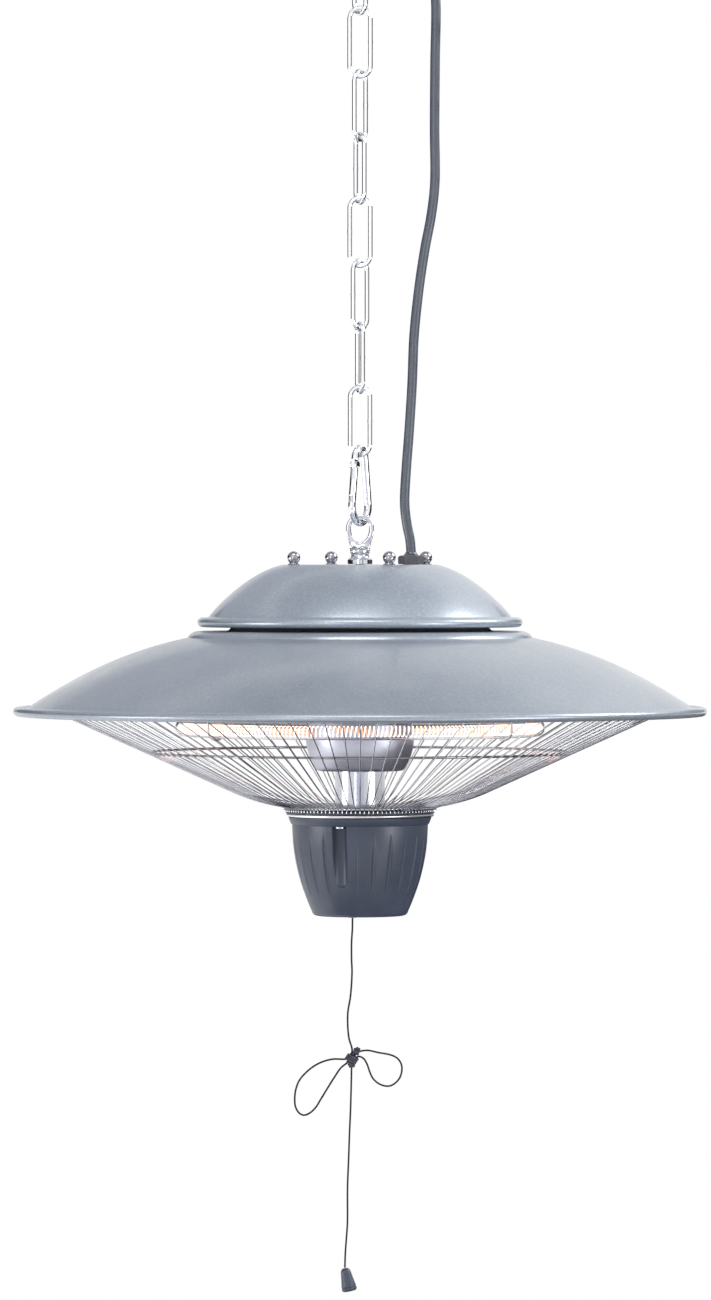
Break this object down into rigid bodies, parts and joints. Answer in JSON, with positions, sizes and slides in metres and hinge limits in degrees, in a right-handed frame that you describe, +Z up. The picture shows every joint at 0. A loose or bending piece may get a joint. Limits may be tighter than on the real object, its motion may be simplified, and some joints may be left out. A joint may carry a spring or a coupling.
{
  "type": "hanging patio heater",
  "caption": "Chain-hung electric patio heater with a two-tier round metal hood, a ring element behind a wire guard, and a pull-cord switch.",
  "frame": {"origin": "middle of the ceiling plate's top face, where the heater is fixed to a ceiling", "axes": "+Z up along the hanging axis, -Y to the front"},
  "size_m": [0.5996, 0.5996, 1.2207],
  "materials": {
    "canopy_paint": "satin",
    "hood_paint": "satin metallic silver-grey",
    "chrome": "polished",
    "steel": "zinc plated",
    "polished_metal": "polished",
    "housing_plastic": "satin slate grey",
    "black_plastic": "satin",
    "rubber": "matt blue-grey",
    "cord": "twisted fibre",
    "ceramic": "unglazed",
    "sleeving": "glass-fibre sleeve",
    "quartz": "clear",
    "coil": "glowing"
  },
  "bodies": {
    "ceiling_mount": {"ceiling_plate": "steel", "ceiling_canopy": "canopy_paint", "ceiling_hook": "chrome", "canopy_outlet": "black_plastic", "mains_cable": "rubber"},
    "chain_1": {"chain_link_1": "chrome"},
    "chain_2": {"chain_link_2": "chrome"},
    "chain_3": {"chain_link_3": "chrome"},
    "chain_4": {"chain_link_4": "chrome"},
    "chain_5": {"chain_link_5": "chrome"},
    "chain_6": {"chain_link_6": "chrome"},
    "chain_7": {"chain_link_7": "chrome"},
    "chain_8": {"chain_link_8": "chrome"},
    "snap_hook": {"snap_hook_body": "chrome", "snap_hook_pin": "steel"},
    "snap_gate": {"snap_hook_gate": "chrome"},
    "heater": {"eye_nut": "chrome", "upper_hood": "hood_paint", "lower_hood": "hood_paint", "stud_plate": "steel", "spacer_1": "steel", "spacer_2": "steel", "spacer_3": "steel", "spacer_4": "steel", "ball_nut_1": "chrome", "ball_nut_2": "chrome", "ball_nut_3": "chrome", "ball_nut_4": "chrome", "gland_nut": "black_plastic", "gland_body": "black_plastic", "terminal_block": "ceramic", "supply_tail": "rubber", "switch_leads": "sleeving", "reflector": "polished_metal", "centre_drum": "polished_metal", "centre_column": "polished_metal", "base_plate": "steel", "tie_rod": "steel", "quartz_tube": "quartz", "heating_coil": "coil", "tube_cap_left": "ceramic", "tube_cap_right": "ceramic", "tube_bracket": "steel", "tube_clip_1": "steel", "tube_clip_2": "steel", "guard_cage": "chrome", "guard_collar": "housing_plastic", "guard_bead": "chrome", "switch_housing": "housing_plastic", "housing_screw_1": "steel", "housing_screw_2": "steel", "housing_screw_3": "steel", "switch_body": "black_plastic", "cord_bush": "black_plastic"},
    "pull_slider": {"pull_cord_inner": "cord"},
    "pull_cord": {"pull_cord_upper": "cord", "pull_cord_bow": "cord", "pull_cord_lower": "cord", "pull_knob": "housing_plastic"},
    "switch_rotor": {"switch_rotor": "ceramic"}
  },
  "joints": [
    {"name": "chain_1_swing", "type": "hinge", "parent": "ceiling_mount", "child": "chain_1", "pos_m": [0, 0, -0.061], "axis": [1, 0, 0], "range_deg": [-20, 20]},
    {"name": "chain_2_swing", "type": "hinge", "parent": "chain_1", "child": "chain_2", "pos_m": [0, 0, -0.1145], "axis": [0.5446, -0.8387, 0], "range_deg": [-20, 20]},
    {"name": "chain_3_swing", "type": "hinge", "parent": "chain_2", "child": "chain_3", "pos_m": [0, 0, -0.169], "axis": [1, 0, 0], "range_deg": [-20, 20]},
    {"name": "chain_4_swing", "type": "hinge", "parent": "chain_3", "child": "chain_4", "pos_m": [0, 0, -0.2235], "axis": [0.5446, 0.8387, 0], "range_deg": [-20, 20]},
    {"name": "chain_5_swing", "type": "hinge", "parent": "chain_4", "child": "chain_5", "pos_m": [0, 0, -0.278], "axis": [-0.4067, 0.9135, 0], "range_deg": [-20, 20]},
    {"name": "chain_6_swing", "type": "hinge", "parent": "chain_5", "child": "chain_6", "pos_m": [0, 0, -0.3325], "axis": [-0.9877, 0.1564, 0], "range_deg": [-20, 20]},
    {"name": "chain_7_swing", "type": "hinge", "parent": "chain_6", "child": "chain_7", "pos_m": [0, 0, -0.387], "axis": [-0.6691, -0.7431, 0], "range_deg": [-20, 20]},
    {"name": "chain_8_swing", "type": "hinge", "parent": "chain_7", "child": "chain_8", "pos_m": [0, 0, -0.4415], "axis": [0.2588, -0.9659, 0], "range_deg": [-20, 20]},
    {"name": "snap_hook_swing", "type": "hinge", "parent": "chain_8", "child": "snap_hook", "pos_m": [0, 0, -0.496], "axis": [0.9511, -0.309, 0], "range_deg": [-20, 20]},
    {"name": "snap_gate_hinge", "type": "hinge", "parent": "snap_hook", "child": "snap_gate", "pos_m": [-0.00451, -0.00813, -0.50462], "axis": [0.8746, -0.4848, 0], "range_deg": [0, 20], "stiffness_Nm_per_rad": 0.02, "springref_deg": -17.19},
    {"name": "heater_swing", "type": "hinge", "parent": "snap_hook", "child": "heater", "pos_m": [0, 0, -0.5545], "axis": [0.4848, 0.8746, 0], "range_deg": [-20, 20], "deforming": ["mains_cable"]},
    {"name": "pull_slide", "type": "slide", "parent": "heater", "child": "pull_slider", "axis": [0, 0, -1], "range_m": [0, 0.0125], "stiffness_N_per_m": 600, "springref_m": -0.01},
    {"name": "pull_cord_swing", "type": "hinge", "parent": "pull_slider", "child": "pull_cord", "pos_m": [-0.0065, 0, -0.896], "axis": [0, 1, 0], "range_deg": [-20, 20]},
    {"name": "switch_rotor_turn", "type": "hinge", "parent": "heater", "child": "switch_rotor", "pos_m": [0.0015, 0, -0.8276], "axis": [0, -1, 0], "range_deg": [0, 130]}
  ],
  "couplings": [
    {"joint": "switch_rotor_turn", "follows": "pull_slide", "rad_per_m": 125}
  ]
}
